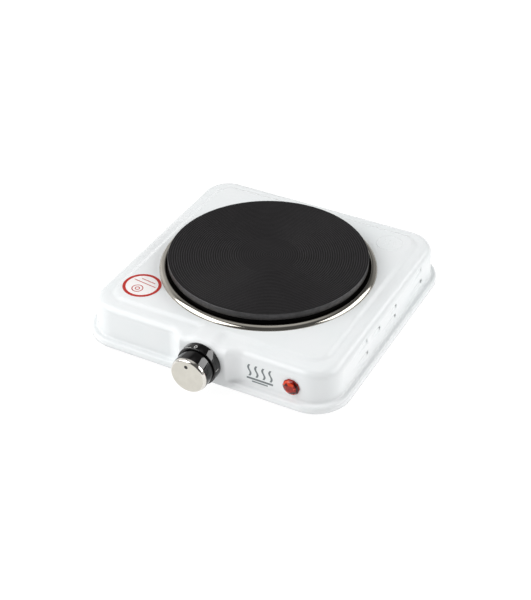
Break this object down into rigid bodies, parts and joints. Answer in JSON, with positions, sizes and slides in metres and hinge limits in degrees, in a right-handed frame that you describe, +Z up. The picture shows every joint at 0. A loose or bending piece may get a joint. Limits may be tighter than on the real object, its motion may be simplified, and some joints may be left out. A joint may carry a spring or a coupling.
{
  "type": "hot plate burner",
  "caption": "Free-standing electric hot plate: square pressed-steel housing, round cast iron plate in a spill ring, front thermostat knob and pilot lamp.",
  "frame": {"origin": "middle of the footprint (housing and knob together) on the plane that the feet stand on", "axes": "+Z up, -Y towards the knob and the user, +X to the user's right"},
  "size_m": [0.2574, 0.2822, 0.0616],
  "materials": {
    "white_enamel": "glossy white powder coat on pressed sheet steel",
    "zinc_steel": "zinc-plated sheet steel, spangled and dull",
    "plain_steel": "turned or rolled bright steel",
    "foot_rubber": "matt black moulded rubber",
    "cast_iron": "black seasoned cast iron with fine turned grooves",
    "polished_stainless": "polished stainless sheet",
    "ceramic": "unglazed steatite",
    "filler": "pressed magnesia powder",
    "resistance_wire": "dull nickel-chrome wire",
    "black_gloss": "high-gloss black phenolic",
    "knob_chrome": "satin chrome face with a polished bevel",
    "brass": "turned brass",
    "spring_bronze": "rolled bronze strip",
    "bimetal": "rolled bimetal strip",
    "silver_contact": "silver rivet",
    "red_lens": "clear red polycarbonate with cut facets",
    "lamp_black": "moulded nylon",
    "bulb_glass": "thin clear glass",
    "resistor_body": "lacquered ceramic",
    "terminal_nylon": "natural nylon",
    "grommet_rubber": "moulded rubber",
    "lead_brown": "silicone sleeved wire",
    "lead_blue": "silicone sleeved wire",
    "lead_red": "silicone sleeved wire",
    "lead_earth": "silicone sleeved wire",
    "sticker_film": "printed vinyl film"
  },
  "bodies": {
    "base": {"top_housing": "white_enamel", "bottom_cover": "zinc_steel", "foot_screws": "plain_steel", "heating_plate": "cast_iron", "heating_coils": "resistance_wire", "ceramic_filler": "filler", "plate_under_cover": "zinc_steel", "plate_terminal_block": "ceramic", "plate_terminal_pins": "plain_steel", "spill_ring": "polished_stainless", "centre_stud": "plain_steel", "stud_spacer": "plain_steel", "heat_shield": "zinc_steel", "clamp_bridge": "zinc_steel", "clamp_washer": "plain_steel", "clamp_nut": "plain_steel", "dial_ring": "black_gloss", "spindle_bush": "brass", "lever_pivot_pin": "plain_steel", "thermostat_frame": "zinc_steel", "thermostat_screws": "plain_steel", "stack_rivet": "plain_steel", "ceramic_spacers": "ceramic", "bimetal_strip": "bimetal", "fixed_contact_blade": "spring_bronze", "moving_contact_blade": "spring_bronze", "contact_rivets": "silver_contact", "indicator_lens": "red_lens", "indicator_clip": "plain_steel", "lamp_holder": "lamp_black", "neon_bulb": "bulb_glass", "ballast_resistor": "resistor_body", "mains_terminal_block": "terminal_nylon", "terminal_screws": "plain_steel", "cord_grommet": "grommet_rubber", "earth_stud": "plain_steel", "earth_ring_terminal": "plain_steel", "earth_nut": "plain_steel", "live_lead": "lead_brown", "switched_lead": "lead_red", "neutral_lead": "lead_blue", "lamp_live_lead": "lead_red", "lamp_neutral_lead": "lead_blue", "earth_lead": "lead_earth", "notice_sticker": "sticker_film", "foot_front_left": "foot_rubber", "foot_bracket_front_left": "zinc_steel", "foot_front_right": "foot_rubber", "foot_bracket_front_right": "zinc_steel", "foot_rear_left": "foot_rubber", "foot_bracket_rear_left": "zinc_steel", "foot_rear_right": "foot_rubber", "foot_bracket_rear_right": "zinc_steel"},
    "knob": {"knob_barrel": "black_gloss", "knob_cap": "knob_chrome", "knob_spring_clip": "plain_steel", "thermostat_spindle": "plain_steel", "spindle_circlip": "plain_steel", "thermostat_cam": "ceramic"},
    "lever": {"cam_lever": "plain_steel"}
  },
  "joints": [
    {"name": "knob_turn", "type": "hinge", "parent": "base", "child": "knob", "pos_m": [0.002, -0.11655, 0.0285], "axis": [0, 1, 0], "range_deg": [0, 280]},
    {"name": "lever_swing", "type": "hinge", "parent": "base", "child": "lever", "pos_m": [-0.014, -0.10305, 0.0221], "axis": [0, 1, 0], "range_deg": [0, 8.6]}
  ],
  "couplings": [
    {"joint": "lever_swing", "follows": "knob_turn", "ratio": 0.030694}
  ]
}
